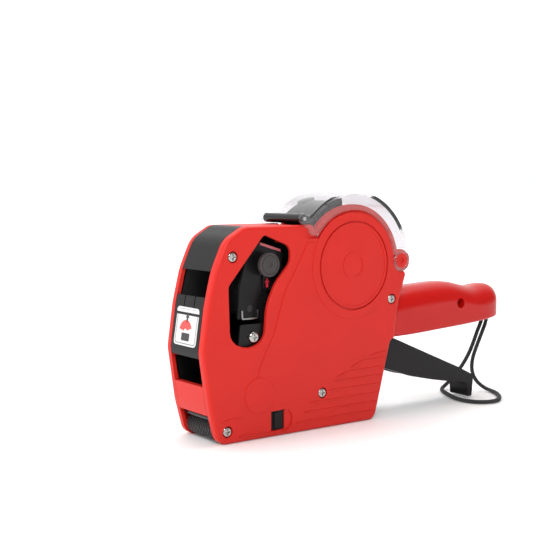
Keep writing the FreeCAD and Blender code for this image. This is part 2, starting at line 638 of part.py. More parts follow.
def reading_strip():
    """Tinted strip along the top of the head, over the row of digits."""
    (rear_x, rear_z), (front_x, front_z) = HEAD_TOP
    slope = (rear_z - front_z) / (rear_x - front_x)
    x0, x1 = front_x + 2.2, rear_x - 2.4
    z0 = front_z + slope * (x0 - front_x)
    z1 = front_z + slope * (x1 - front_x)
    thick = 1.3
    return slab(((x0, z0, 0), (x0, z0 + thick, 0), (x1, z1 + thick, 0), (x1, z1, 0)), -HEAD_OUT, HEAD_OUT)


def spring_clip():
    clip = slab(((-44.2, 63.8, 0.3), (-43.8, 59.3, 0.8), (-33.8, 59.3, 0.8), (-33.8, 63.8, 0.3)),
                HEAD_OUT + 0.05, HEAD_OUT + 0.75)
    gap = slab(((-43.4, 66, 0), (-43.0, 60.0, 0.5), (-34.6, 60.0, 0.5), (-34.6, 66, 0)), 9, 12)
    return sided(clip.cut(gap), -1)


KNOB_BACK, KNOB_FACE = 14.5, 16.7


def selector_knob():
    disc = round_bar(KNOB, KNOB_R, -KNOB_FACE, -KNOB_BACK)
    disc = disc.makeFillet(0.6, [edge for edge in disc.Edges if edge.Closed
                                 and edge.CenterOfMass.y < -KNOB_FACE + 0.1])
    ring = tube(KNOB, 4.9, 4.5, -KNOB_FACE - 1, -KNOB_FACE + 0.3)
    dimple = round_bar(KNOB, 1.3, -KNOB_FACE - 1, -KNOB_FACE + 0.3)
    return disc.cut(ring).cut(dimple)


def selector_shaft():
    shaft = round_bar(KNOB, 1.6, -KNOB_BACK, 9.6)
    return shaft.fuse(round_bar(KNOB, 2.4, -KNOB_BACK, -KNOB_BACK + 1.4)).removeSplitter()


def selector_collar():
    """Detent collar that slides with the knob and doesn't turn."""
    return tube(KNOB, 3.1, 1.66, -12.7, -11.7)


# ---- inking -------------------------------------------------------------------------------------
def ink_carrier():
    """Two arms that carry the ink roller, tied by a rod beyond it."""
    rod_at = polar(CARRIER, INK_ARM + 4.8, INK_REST_DEG + 14)
    arm = join([ribbon((CARRIER, INK), 4.2, CARRIER_IN, CARRIER_OUT),
                ribbon((INK, rod_at), 2.8, CARRIER_IN, CARRIER_OUT),
                round_bar(CARRIER, 3.1, CARRIER_IN, CARRIER_OUT)])
    arm = arm.cut(round_bar(CARRIER, CARRIER_PIN_R + RUN, 8, 15))
    arm = arm.cut(round_bar(INK, 1.2 + RUN, 8, 15))
    rod = round_bar(rod_at, 1.2, -CARRIER_OUT, CARRIER_OUT)
    return join(both_sides(arm) + [rod])


def ink_roller_core():
    core = round_bar(INK, 2.6, -10.9, 10.9)
    return core.fuse(round_bar(INK, 1.2, -CARRIER_OUT, CARRIER_OUT)).removeSplitter()


def ink_roller_foam():
    return tube(INK, INK_R, 2.6, -10.2, 10.2)


def ink_cover():
    """Front door over the ink roller: curved plate with a snap tab at its top."""
    plate = outline_band(-1.9, 0, BETWEEN - 0.2, 45.3, 71.8, -80, -50)
    slits = [block(-72, -55, y - 0.35, y + 0.35, 66.5, 73) for y in (-4.5, 4.5)]
    barrel = round_bar(INK_HINGE, 2.0, -BETWEEN + 0.2, BETWEEN - 0.2)
    root = outline_band(-1.9, 0, BETWEEN - 0.2, 42.6, 46.0, -80, -50)
    body = join([plate, barrel, root]).cut(join(slits))
    return body.cut(round_bar(INK_HINGE, 0.9 + RUN, -20, 20))


def instruction_plate():
    """Thin plate on the ink cover's outer face."""
    return outline_band(0, 0.35, 10.0, 47.6, 66.2, -80, -50)


# ---- feeding ------------------------------------------------------------------------------------
def feed_shaft():
    return round_bar(FEED, 2.0, -PLATE_OUT + 0.1, PLATE_OUT - 0.1)


def feed_wheel():
    """Drum with two rows of teeth that pull the backing strip by its slits."""
    drum = round_bar(FEED, 5.6, -8.6, 8.6)
    rows = []
    for y0, y1 in ((-7.6, -3.4), (3.4, 7.6)):
        row = round_bar(FEED, FEED_R - 1.2, y0, y1)
        teeth = []
        for step in range(10):
            tooth = block(FEED_R - 2.2, FEED_R, y0, y1, -0.8, 0.8)
            tooth.rotate(V(0, 0, 0), V(0, -1, 0), 36 * step)
            tooth.translate(V(FEED[0], 0, FEED[1]))
            teeth.append(tooth)
        rows.append(join([row] + teeth))
    return join([drum] + rows).cut(round_bar(FEED, 2.0, -20, 20))


RATCHET_Y = (9.0, 10.2)
RATCHET_TEETH = 12


def feed_ratchet():
    """Saw-toothed wheel beside the drum."""
    points = []
    for step in range(RATCHET_TEETH):
        angle = 360.0 / RATCHET_TEETH * step
        points.append(polar(FEED, 6.9, angle))
        points.append(polar(FEED, 5.5, angle + 2))
    corners = [(x, z, 0) for x, z in points]
    return slab(corners, *RATCHET_Y).cut(round_bar(FEED, 2.0, 5, 15))


def feed_pawl():
    tip = polar(FEED, 7.35, -16)
    arm = slab(((PAWL[0] + 1.6, PAWL[1] - 1.6, 1), (PAWL[0] + 1.6, PAWL[1] + 1.6, 1),
                (tip[0] + 0.4, tip[1] + 1.0, 0.3), (tip[0] + 0.1, tip[1] - 0.6, 0.2)), *RATCHET_Y)
    boss = round_bar(PAWL, 2.4, *RATCHET_Y)
    return join([arm, boss]).cut(round_bar(PAWL, 1.2 + RUN, 5, 15))


def pawl_pin():
    return round_bar(PAWL, 1.2, 8.6, PLATE_IN)


ROLLER_GROOVES = 15
ROLLER_PITCH = 1.5


def applicator_roller():
    """Soft ribbed roller under the nose."""
    roller = round_bar(PRESS, PRESS_R, -11.6, 11.6)
    for step in range(ROLLER_GROOVES):
        y = (step - (ROLLER_GROOVES - 1) / 2) * ROLLER_PITCH
        roller = roller.cut(tube(PRESS, PRESS_R + 1, PRESS_R - 0.35, y - 0.3, y + 0.3))
    return roller.cut(round_bar(PRESS, 2.0 + RUN, -20, 20))


def roller_axle():
    axle = round_bar(PRESS, 2.0, -PLATE_IN, PLATE_IN)
    for side in (-1, 1):
        axle = axle.cut(sided(round_bar(PRESS, 1.2, 9.6, 15), side))
    return axle


# ---- label roll bay and lid ---------------------------------------------------------------------
def roll_spindle():
    body = round_bar(ROLL, SPINDLE_R, -SPINDLE_HALF, SPINDLE_HALF)
    body = body.cut(tube(ROLL, 9.0, 5.0, -12, -8.8)).cut(tube(ROLL, 9.0, 5.0, 8.8, 12))
    body = body.fuse(round_bar(ROLL, 5.0, -12.6, 12.6))
    return body.cut(round_bar(ROLL, 3.0 + RUN, -20, 20)).removeSplitter()


def lid_shell():
    band = tube(ROLL, LID_R, LID_R - LID_WALL, -HALF_WIDTH, HALF_WIDTH).common(
        fan(ROLL, 60, 12, 138, -20, 20))
    ring = tube(ROLL, LID_R, LID_FLANGE_R, LID_FLANGE_IN, HALF_WIDTH).common(
        fan(ROLL, 60, 4, 147, LID_FLANGE_IN, HALF_WIDTH))
    front = slab(((GUIDE[0], GUIDE[1] - 2.8, 0), (-7.0, 105.8, 1), (-5.8, 100.2, 2.8),
                  (1.4, 99.9, 2.5), (12, 108, 0), (4.0, 115.0, 0), (-3.2, 110.8, 0),
                  (GUIDE[0], GUIDE[1] + 2.8, 0)), LID_FLANGE_IN, HALF_WIDTH)
    front = front.cut(round_bar(ROLL, LID_FLANGE_R, 10, 20))
    ears = [round_bar(GUIDE, 2.8, LID_FLANGE_IN, HALF_WIDTH),
            round_bar(LID_HINGE, LID_EAR_R, LID_FLANGE_IN, HALF_WIDTH)]
    flange = join([ring, front] + ears)
    flange = flange.cut(round_bar(LID_HINGE, LID_BOSS_R + 0.08, 10, 20))
    lid = join([band] + both_sides(flange))
    return lid.cut(round_bar(GUIDE, 1.0, -20, 20))


def bay_guide():
    """Curved plate in the front of the roll bay, under the lid, with a leg to each frame plate."""
    plate = tube(ROLL, 34.4, 33.2, -PLATE_IN, PLATE_IN).common(fan(ROLL, 60, 103, 139, -20, 20))
    leg = tube(ROLL, 34.0, 25.5, PLATE_IN - 1.2, PLATE_IN).common(fan(ROLL, 60, 116, 136, 10, 20))
    stop = tube(ROLL, 35.6, 31.4, 9.4, PLATE_IN - 0.1).common(fan(ROLL, 60, 99, 114, 5, 20))
    return join([plate] + both_sides(leg) + both_sides(stop))


def guide_roller():
    return tube(GUIDE, GUIDE_R, 1.0 + RUN, -LID_FLANGE_IN + 0.2, LID_FLANGE_IN - 0.2)


# ---- base lid and latches -----------------------------------------------------------------------
def base_lid():
    floor = slab(((-49.0, 0, 0.8), (-49.0, 2.0, 0.8), (34.5, 2.0, 0), (34.5, 0, 0)),
                 -BETWEEN + 0.2, BETWEEN - 0.2)
    barrel = round_bar(BASE_HINGE, 2.2, -BETWEEN + 0.2, BETWEEN - 0.2)
    tab = block(LATCH[0] + 0.6, LATCH[1] - 0.6, 10.1, 11.3, 1.5, 9.6)
    lips = block(-47.5, -46.3, -9.0, 9.0, 1.5, 4.0)
    ribs = [block(-45, 26, y - 0.5, y + 0.5, 1.5, 3.2) for y in (-5.0, 5.0)]
    body = join([floor, barrel, lips] + both_sides(tab) + ribs)
    return body.cut(round_bar(BASE_HINGE, 1.2 + RUN, -20, 20))


def latch(side):
    """Push button in the cover's wall that frees the base lid's tab."""
    x0, x1, z0, z1 = LATCH
    face = block(x0, x1, PLATE_OUT + 0.1, HALF_WIDTH - 1.3, z0, z1)
    grip = block(x0 + 2.2, x0 + 5.0, PLATE_OUT + 0.1, HALF_WIDTH - 0.5, z0 + 0.8, z1 - 0.8)
    flange = block(x0 - 0.9, x1 + 0.9, PLATE_OUT + 0.1, COVER_FACE_INNER - 0.1, z0 - 0.7, z1 + 0.9)
    stem = block(x0 + 2, x1 - 2, 13.0, PLATE_OUT + 0.2, z0 + 2, z1 - 2)
    return sided(join([face, grip, flange, stem]), side)


# ---- wrist strap --------------------------------------------------------------------------------
STRAP_ROUTE = (
    (141.7, -2.34, STRAP_TOP), (141.7, -2.34, 44.6), (139.8, -0.7, 37.4), (138.5, 1.9, 29.4),
    (138.1, 4.6, 22.4), (138.6, 6.5, 15.8), (140.4, 7.0, 9.8), (142.8, 5.4, 5.1),
    (144.7, 1.0, 2.0), (144.3, -4.9, 1.25), (141.9, -10.6, 1.25), (137.6, -16.4, 1.25),
    (132.4, -22.0, 1.25), (125.8, -26.2, 1.25), (118.2, -26.4, 1.25), (112.0, -22.2, 1.25),
    (109.4, -15.0, 1.25), (110.5, -7.2, 1.25), (113.5, -0.2, 1.25), (116.8, 6.6, 1.25),
    (120.4, 12.9, 1.25), (124.6, 17.7, 1.25), (129.6, 19.6, 2.5), (134.2, 19.0, 5.8),
    (136.8, 15.6, 11.2), (137.4, 11.2, 17.6), (137.5, 7.2, 24.0), (137.2, 3.7, 31.0),
    (137.7, 1.1, 38.4), (139.4, -0.66, 44.6), (139.4, -0.66, STRAP_TOP))


def strap_path():
    """Straight runs joined by tangent arcs, as large as each pair of runs allows."""
    points = [V(*point) for point in STRAP_ROUTE]
    edges = []
    radii = []
    last = points[0]
    for before, here, after in zip(points, points[1:], points[2:]):
        back = before - here
        ahead = after - here
        shorter = min(back.Length, ahead.Length)
        back.normalize()
        ahead.normalize()
        half_turn = (math.pi - back.getAngle(ahead)) / 2
        reach = 0.45 * shorter
        radius = reach / math.tan(half_turn)
        radii.append(round(radius, 1))
        inward = back + ahead
        inward.normalize()
        start = here + back * reach
        stop = here + ahead * reach
        middle = here + inward * (radius / math.cos(half_turn) - radius)
        edges.append(Part.LineSegment(last, start).toShape())
        edges.append(Part.Arc(start, middle, stop).toShape())
        last = stop
    edges.append(Part.LineSegment(last, points[-1]).toShape())
    return Part.Wire(edges), radii


def strap_cord():
    path, radii = strap_path()
    first = V(*STRAP_ROUTE[1]) - V(*STRAP_ROUTE[0])
    ring = Part.Wire(Part.makeCircle(STRAP_R, V(*STRAP_ROUTE[0]), first))
    cord = path.makePipeShell([ring], True, False)
    section = math.pi * STRAP_R ** 2
    print("strap radii", radii)
    print("strap length", round(path.Length, 1), "volume ratio",
          round(cord.Volume / (section * path.Length), 4))
    return cord


# ---- build --------------------------------------------------------------------------------------
def all_parts():
    handle = handle_body()
    return {
        "side_cover_left": side_cover(-1),
        "side_cover_right": side_cover(1),
        "cover_screws": cover_screws(),
        "frame_plate_left": frame_plate(-1),
        "frame_plate_right": frame_plate(1),
        "spacer_posts": spacer_posts(),
        "nose_cap": nose_cap(),
        "top_bridge": top_bridge(),
        "front_bridge": front_bridge(),
        "peel_bar": peel_bar(),
        "label_guide": label_guide(),
        "trigger_pivot_pin": pin_through(TRIGGER, TRIGGER_PIN_R, PLATE_OUT),
        "arm_pivot_pin": pin_through(ARM, ARM_PIN_R, PLATE_OUT),
        "pivot_screws": pivot_screws(),
        "handle_left": handle_half(-1, handle),
        "handle_right": handle_half(1, handle),
        "handle_screw": handle_screw(),
        "strap_anchor": strap_anchor(),
        "strap_cord": strap_cord(),
        "trigger_lever": trigger_lever(),
        "drive_fork": drive_fork(),
        "drive_pins": drive_pins(),
        "trigger_spring": trigger_spring(),
        "print_arm": print_arm(),
        "head_housing": head_housing(),
        "head_front_cover": head_front_cover(),
        "setting_wheels": setting_wheels(),
        "type_bands": type_bands(),
        "band_anvil": band_anvil(),
        "pointer_frame": pointer_frame(),
        "red_pointer": red_pointer(),
        "reading_strip": reading_strip(),
        "spring_clip": spring_clip(),
        "selector_knob": selector_knob(),
        "selector_shaft": selector_shaft(),
        "selector_collar": selector_collar(),
        "ink_carrier": ink_carrier(),
        "ink_roller_core": ink_roller_core(),
        "ink_roller_foam": ink_roller_foam(),
        "ink_cover": ink_cover(),
        "ink_cover_pin": round_bar(INK_HINGE, 0.9, -14.4, 14.4),
        "instruction_plate": instruction_plate(),
        "feed_shaft": feed_shaft(),
        "feed_wheel": feed_wheel(),
        "feed_ratchet": feed_ratchet(),
        "feed_pawl": feed_pawl(),
        "pawl_pin": pawl_pin(),
        "applicator_roller": applicator_roller(),
        "roller_axle": roller_axle(),
        "roll_spindle": roll_spindle(),
        "spindle_axle": round_bar(ROLL, 3.0, -PLATE_OUT, PLATE_OUT),
        "bay_guide": bay_guide(),
        "lid_shell": lid_shell(),
        "lid_roller_pin": round_bar(GUIDE, 1.0, -HALF_WIDTH, HALF_WIDTH),
        "guide_roller": guide_roller(),
        "base_lid": base_lid(),
        "base_hinge_pin": round_bar(BASE_HINGE, 1.2, -14.4, 14.4),
        "latch_left": latch(-1),
        "latch_right": latch(1),
    }


os.makedirs("parts", exist_ok=True)
for name, shape in all_parts().items():
    if not shape.isValid() or shape.Volume <= 0:
        print("CHECK", name, shape.isValid(), shape.Volume)
    shape.exportStep("parts/" + name + ".step")
    low, high = shape.BoundBox.XMin, shape.BoundBox.XMax
    print(f"{name:20s} {len(shape.Solids)} solids  x {low:.1f}..{high:.1f}  "
          f"y {shape.BoundBox.YMin:.1f}..{shape.BoundBox.YMax:.1f}  "
          f"z {shape.BoundBox.ZMin:.1f}..{shape.BoundBox.ZMax:.1f}  vol {shape.Volume:.0f}")
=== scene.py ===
import json
import math

import bmesh
import bpy
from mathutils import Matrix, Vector


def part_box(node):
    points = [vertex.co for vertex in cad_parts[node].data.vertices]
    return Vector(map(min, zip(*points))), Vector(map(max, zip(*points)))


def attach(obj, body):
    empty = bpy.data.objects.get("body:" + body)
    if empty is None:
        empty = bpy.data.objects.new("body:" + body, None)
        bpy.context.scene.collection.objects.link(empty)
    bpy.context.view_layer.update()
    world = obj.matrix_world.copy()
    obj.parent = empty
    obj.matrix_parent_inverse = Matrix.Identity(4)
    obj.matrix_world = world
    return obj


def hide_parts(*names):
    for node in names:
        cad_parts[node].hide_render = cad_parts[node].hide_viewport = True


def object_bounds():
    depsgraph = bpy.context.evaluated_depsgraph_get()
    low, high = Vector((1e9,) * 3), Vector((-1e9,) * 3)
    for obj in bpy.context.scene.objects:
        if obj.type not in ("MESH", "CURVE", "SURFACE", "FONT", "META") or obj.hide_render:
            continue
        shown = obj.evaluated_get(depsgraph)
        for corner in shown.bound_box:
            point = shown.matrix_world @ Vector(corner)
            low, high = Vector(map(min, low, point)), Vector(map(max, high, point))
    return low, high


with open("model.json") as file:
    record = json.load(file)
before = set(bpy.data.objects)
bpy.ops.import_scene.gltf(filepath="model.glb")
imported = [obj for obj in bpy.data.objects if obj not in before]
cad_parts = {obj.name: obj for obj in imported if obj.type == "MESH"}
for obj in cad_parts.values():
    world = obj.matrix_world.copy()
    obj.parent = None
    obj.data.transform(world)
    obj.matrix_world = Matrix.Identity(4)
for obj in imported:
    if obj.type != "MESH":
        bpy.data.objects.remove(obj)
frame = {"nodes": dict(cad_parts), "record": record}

MM = 0.001
cad_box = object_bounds()
nodes = frame["nodes"]


# ---- camera -------------------------------------------------------------------------------------
CAMERA_PLACE = (-0.3355, -0.4332, 0.1256)
CAMERA_TURN_DEG = 36.0       # how far the view turns from +Y towards +X
CAMERA_DOWN_DEG = 4.44
CAMERA_LENS = 70.9


def make_camera():
    data = bpy.data.cameras.new("camera")
    data.lens = CAMERA_LENS
    data.sensor_width = 36.0
    data.clip_start = 0.01
    camera = bpy.data.objects.new("camera", data)
    bpy.context.scene.collection.objects.link(camera)
    turn = math.radians(CAMERA_TURN_DEG)
    down = math.radians(CAMERA_DOWN_DEG)
    forward = Vector((math.sin(turn) * math.cos(down), math.cos(turn) * math.cos(down), -math.sin(down)))
    camera.location = CAMERA_PLACE
    camera.rotation_euler = forward.to_track_quat("-Z", "Y").to_euler()
    bpy.context.scene.camera = camera


make_camera()
bpy.context.scene.view_settings.view_transform = "Standard"


# ---- material helpers ---------------------------------------------------------------------------
# Noise scales, in cells per metre.
WAVINESS_SCALE = 38.0
CLEAR_WAVINESS_SCALE = 45.0
SCUFF_SCALE = 420.0
CLEAR_SCUFF_SCALE = 500.0
GRAIN_SCALE = 2600.0
TARNISH_SCALE = 300.0
TURNING_SCALE = 4000.0
RUBBER_SCALE = 3000.0
FOAM_SCALE = 2400.0
FIBRE_SCALE = 1500.0
YARN_SCALE = 6000.0
RIB_SCALE = 260.0

# Bump depths, in metres.
WAVINESS_DEPTH = 0.002
CLEAR_WAVINESS_DEPTH = 0.001
GRAIN_DEPTH = 0.00004
TURNING_DEPTH = 0.00002
RUBBER_DEPTH = 0.00006
RIB_DEPTH = 0.0003
ROLLER_GRAIN_DEPTH = 0.00005
FOAM_DEPTH = 0.0001
FIBRE_DEPTH = 0.00003
YARN_DEPTH = 0.00005

PLASTIC_IOR = 1.46
THIN_CLEAR_IOR = 1.16


class Shader:
    """A material's node tree, with short calls for what the finishes here need."""

    def __init__(self, name):
        self.material = bpy.data.materials.new(name)
        self.material.use_nodes = True
        self.tree = self.material.node_tree
        self.bsdf = self.tree.nodes["Principled BSDF"]
        self.place = self.add("ShaderNodeTexCoord").outputs["Object"]

    def add(self, kind, **values):
        node = self.tree.nodes.new(kind)
        for key, value in values.items():
            setattr(node, key, value)
        return node

    def link(self, output, target):
        self.tree.links.new(output, target)

    def set(self, **values):
        for key, value in values.items():
            self.bsdf.inputs[key.replace("_", " ")].default_value = value

    def noise(self, scale, detail=3.0, roughness=0.5):
        node = self.add("ShaderNodeTexNoise")
        node.inputs["Scale"].default_value = scale
        node.inputs["Detail"].default_value = detail
        node.inputs["Roughness"].default_value = roughness
        self.link(self.place, node.inputs["Vector"])
        return node.outputs["Fac"]

    def ramp(self, source, stops):
        node = self.add("ShaderNodeValToRGB")
        elements = node.color_ramp.elements
        while len(elements) < len(stops):
            elements.new(0.5)
        for element, (where, colour) in zip(elements, stops):
            element.position = where
            element.color = colour
        self.link(source, node.inputs["Fac"])
        return node.outputs["Color"]

    def spread(self, source, low, high):
        node = self.add("ShaderNodeMapRange")
        node.inputs["From Min"].default_value = 0.3
        node.inputs["From Max"].default_value = 0.7
        node.inputs["To Min"].default_value = low
        node.inputs["To Max"].default_value = high
        self.link(source, node.inputs["Value"])
        return node.outputs["Result"]

    def bump(self, source, strength, distance, below=None):
        node = self.add("ShaderNodeBump")
        node.inputs["Strength"].default_value = strength
        node.inputs["Distance"].default_value = distance
        self.link(source, node.inputs["Height"])
        if below is not None:
            self.link(below, node.inputs["Normal"])
        return node.outputs["Normal"]


def shade(colour, factor):
    return tuple(min(1.0, channel * factor) for channel in colour) + (1.0,)


def moulded(name, colour, rough, grain=0.25, vary=0.06, waves=0.02, specular=0.5, scuffs=0.04):
    """Moulded plastic: fine grain, slow waviness of the surface, slightly uneven tone and gloss."""
    shader = Shader(name)
    slow = shader.noise(WAVINESS_SCALE, 3.0)
    fine = shader.noise(GRAIN_SCALE, 2.0)
    scuff = shader.noise(SCUFF_SCALE, 5.0, 0.65)
    tone = shader.ramp(slow, ((0.3, shade(colour, 1 - vary)), (0.7, shade(colour, 1 + vary))))
    shader.link(tone, shader.bsdf.inputs["Base Color"])
    shader.link(shader.spread(scuff, rough - scuffs, rough + scuffs), shader.bsdf.inputs["Roughness"])
    wavy = shader.bump(slow, waves, WAVINESS_DEPTH)
    shader.link(shader.bump(fine, grain, GRAIN_DEPTH, wavy), shader.bsdf.inputs["Normal"])
    shader.set(IOR=PLASTIC_IOR, Specular_IOR_Level=specular)
    return shader.material


def nickel(name, colour, rough):
    """Plated steel with fine turning marks and a little tarnish."""
    shader = Shader(name)
    cloud = shader.noise(TARNISH_SCALE, 4.0)
    fine = shader.noise(TURNING_SCALE, 2.0)
    tone = shader.ramp(cloud, ((0.35, shade(colour, 0.86)), (0.7, shade(colour, 1.05))))
    shader.link(tone, shader.bsdf.inputs["Base Color"])
    shader.link(shader.spread(cloud, rough - 0.05, rough + 0.1), shader.bsdf.inputs["Roughness"])
    shader.link(shader.bump(fine, 0.12, TURNING_DEPTH), shader.bsdf.inputs["Normal"])
    shader.set(Metallic=1.0)
    return shader.material


def rubber(name, colour, rough):
    """Matt rubber with a fine uneven skin."""
    shader = Shader(name)
    fine = shader.noise(RUBBER_SCALE, 4.0, 0.7)
    tone = shader.ramp(fine, ((0.35, shade(colour, 0.8)), (0.65, shade(colour, 1.25))))
    shader.link(tone, shader.bsdf.inputs["Base Color"])
    shader.link(shader.bump(fine, 0.5, RUBBER_DEPTH), shader.bsdf.inputs["Normal"])
    shader.set(Roughness=rough)
    return shader.material


def ribbed_rubber(name, colour):
    """Soft roller with fine slanted ribs all round; rib crests are painted lighter and grooves darker, a
    painted highlight and shade.
    """
    shader = Shader(name)
    ribs = shader.add("ShaderNodeTexWave", wave_type="BANDS", bands_direction="DIAGONAL")
    ribs.inputs["Scale"].default_value = RIB_SCALE
    ribs.inputs["Distortion"].default_value = 0.0
    shader.link(shader.place, ribs.inputs["Vector"])
    fine = shader.noise(RUBBER_SCALE, 4.0, 0.7)
    # painted highlight and shade: the colour follows the rib bands of the bump, lighter on crests and darker
    # in grooves
    tone = shader.ramp(ribs.outputs["Fac"], ((0.2, shade(colour, 0.6)), (0.8, shade(colour, 2.0))))
    shader.link(tone, shader.bsdf.inputs["Base Color"])
    ridged = shader.bump(ribs.outputs["Fac"], 0.9, RIB_DEPTH)
    shader.link(shader.bump(fine, 0.3, ROLLER_GRAIN_DEPTH, ridged), shader.bsdf.inputs["Normal"])
    shader.set(Roughness=0.42)
    return shader.material


def foam(name, colour):
    """Open-celled foam, soaked with ink; its pits are painted darker, a painted shade in the pores."""
    shader = Shader(name)
    cells = shader.add("ShaderNodeTexVoronoi")
    cells.inputs["Scale"].default_value = FOAM_SCALE
    shader.link(shader.place, cells.inputs["Vector"])
    # painted shade: the colour follows the same cell distance as the bump, darker where the pits sink
    tone = shader.ramp(cells.outputs["Distance"], ((0.1, shade(colour, 0.5)), (0.6, shade(colour, 1.6))))
    shader.link(tone, shader.bsdf.inputs["Base Color"])
    shader.link(shader.bump(cells.outputs["Distance"], 0.8, FOAM_DEPTH), shader.bsdf.inputs["Normal"])
    shader.set(Roughness=0.75)
    return shader.material


def clear(name):
    """Thin clear moulded plastic with faint scuffs: it bends light little, and a coat gives its gloss."""
    shader = Shader(name)
    scuff = shader.noise(CLEAR_SCUFF_SCALE, 6.0, 0.7)
    slow = shader.noise(CLEAR_WAVINESS_SCALE, 2.0)
    shader.link(shader.spread(scuff, 0.02, 0.07), shader.bsdf.inputs["Roughness"])
    shader.link(shader.bump(slow, 0.05, CLEAR_WAVINESS_DEPTH), shader.bsdf.inputs["Normal"])
    shader.set(Base_Color=(0.84, 0.82, 0.84, 1.0), Transmission_Weight=1.0, IOR=THIN_CLEAR_IOR,
               Coat_Weight=1.0, Coat_Roughness=0.04)
    return shader.material


def printed(name, colour):
    """Laminated print: a hint of paper fibre under a smooth film."""
    shader = Shader(name)
    fibre = shader.noise(FIBRE_SCALE, 4.0)
    tone = shader.ramp(fibre, ((0.3, shade(colour, 0.95)), (0.7, shade(colour, 1.04))))
    shader.link(tone, shader.bsdf.inputs["Base Color"])
    shader.link(shader.bump(fibre, 0.08, FIBRE_DEPTH), shader.bsdf.inputs["Normal"])
    shader.set(Roughness=0.35)
    return shader.material


def braid_yarn(name, colour):
    """Dull synthetic yarn with fine fibres."""
    shader = Shader(name)
    fibre = shader.noise(YARN_SCALE, 3.0, 0.7)
    tone = shader.ramp(fibre, ((0.3, shade(colour, 0.6)), (0.7, shade(colour, 1.5))))
    shader.link(tone, shader.bsdf.inputs["Base Color"])
    shader.link(shader.bump(fibre, 0.5, YARN_DEPTH), shader.bsdf.inputs["Normal"])
    shader.set(Roughness=0.78, Sheen_Weight=0.25)
    return shader.material


RED = (0.60, 0.019, 0.013)
HANDLE_RED = (0.50, 0.006, 0.004)
BLACK = (0.006, 0.006, 0.0065)

CHARCOAL = (0.010, 0.0085, 0.009)
KNOB_GREY = (0.055, 0.047, 0.048)

FINISH = {
    "red_shell": moulded("red_shell_finish", RED, 0.40, grain=0.22, vary=0.03, specular=0.26),
    "red_handle": moulded("red_handle_finish", HANDLE_RED, 0.26, grain=0.05, vary=0.02, waves=0.0,
                          specular=0.34, scuffs=0.012),
    "charcoal_satin": moulded("charcoal_satin_finish", CHARCOAL, 0.36, vary=0.10, specular=0.22),
    "black_plastic": moulded("black_plastic_finish", BLACK, 0.38, vary=0.10, specular=0.28),
    "black_gloss": moulded("black_gloss_finish", BLACK, 0.16, grain=0.04, specular=0.42),
    "knob_grey": moulded("knob_grey_finish", KNOB_GREY, 0.50, grain=0.4, vary=0.05, specular=0.25),
    "steel": nickel("steel_finish", (0.50, 0.49, 0.47), 0.22),
    "band_rubber": rubber("band_rubber_finish", (0.010, 0.010, 0.0105), 0.60),
    "wheel_white": moulded("wheel_white_finish", (0.55, 0.54, 0.51), 0.4),
    "red_paint": moulded("red_paint_finish", (0.75, 0.03, 0.06), 0.35),
    "tint_strip": moulded("tint_strip_finish", (0.62, 0.13, 0.15), 0.3, grain=0.05),
    "ink_foam": foam("ink_foam_finish", (0.014, 0.012, 0.020)),
    "label_plate": printed("label_plate_finish", (0.66, 0.66, 0.67)),
    "clear_lid": clear("clear_lid_finish"),
    "strap_cloth": braid_yarn("strap_cloth_finish", (0.010, 0.010, 0.0105)),
}


def paint(obj, material):
    if not obj.material_slots:
        obj.data.materials.append(material)
    for slot in obj.material_slots:
        slot.material = material


def finish_cad_nodes():
    for row in frame["record"]["subparts"]:
        paint(nodes[row["node"]], FINISH[row["material_slot"]])
    paint(nodes["spring_clip"], nickel("spring_clip_finish", (0.34, 0.33, 0.33), 0.32))
    paint(nodes["applicator_roller"], ribbed_rubber("applicator_roller_finish", (0.008, 0.008, 0.0085)))


finish_cad_nodes()


# ---- mesh helpers -------------------------------------------------------------------------------
def add_mesh(name, verts, faces, material, smooth=True):
    mesh = bpy.data.meshes.new(name)
    mesh.from_pydata([tuple(vert) for vert in verts], [], faces)
    mesh.update()
    obj = bpy.data.objects.new(name, mesh)
    bpy.context.scene.collection.objects.link(obj)
    mesh.materials.append(material)
    for polygon in mesh.polygons:
        polygon.use_smooth = smooth
    return obj


# ---- wrist strap --------------------------------------------------------------------------------
# The same points as the strap's route in the CAD source.
STRAP_ROUTE = (
    (141.7, -2.34, 50.0), (141.7, -2.34, 44.6), (139.8, -0.7, 37.4), (138.5, 1.9, 29.4),
    (138.1, 4.6, 22.4), (138.6, 6.5, 15.8), (140.4, 7.0, 9.8), (142.8, 5.4, 5.1),
    (144.7, 1.0, 2.0), (144.3, -4.9, 1.25), (141.9, -10.6, 1.25), (137.6, -16.4, 1.25),
    (132.4, -22.0, 1.25), (125.8, -26.2, 1.25), (118.2, -26.4, 1.25), (112.0, -22.2, 1.25),
    (109.4, -15.0, 1.25), (110.5, -7.2, 1.25), (113.5, -0.2, 1.25), (116.8, 6.6, 1.25),
    (120.4, 12.9, 1.25), (124.6, 17.7, 1.25), (129.6, 19.6, 2.5), (134.2, 19.0, 5.8),
    (136.8, 15.6, 11.2), (137.4, 11.2, 17.6), (137.5, 7.2, 24.0), (137.2, 3.7, 31.0),
    (137.7, 1.1, 38.4), (139.4, -0.66, 44.6), (139.4, -0.66, 50.0))
YARN_COUNT = 4               # yarns wound each way round the core
YARN_PITCH = 5.2 * MM
YARN_R = 0.27 * MM
YARN_CENTRE_R = 0.90 * MM
YARN_WEAVE = 0.08 * MM       # how far a yarn moves in and out as it crosses the others
YARN_SIDES = 6
CORE_R = 0.95 * MM
CORE_SIDES = 12
RING_STEP = 0.36 * MM
ROUTE_RESOLUTION = 24


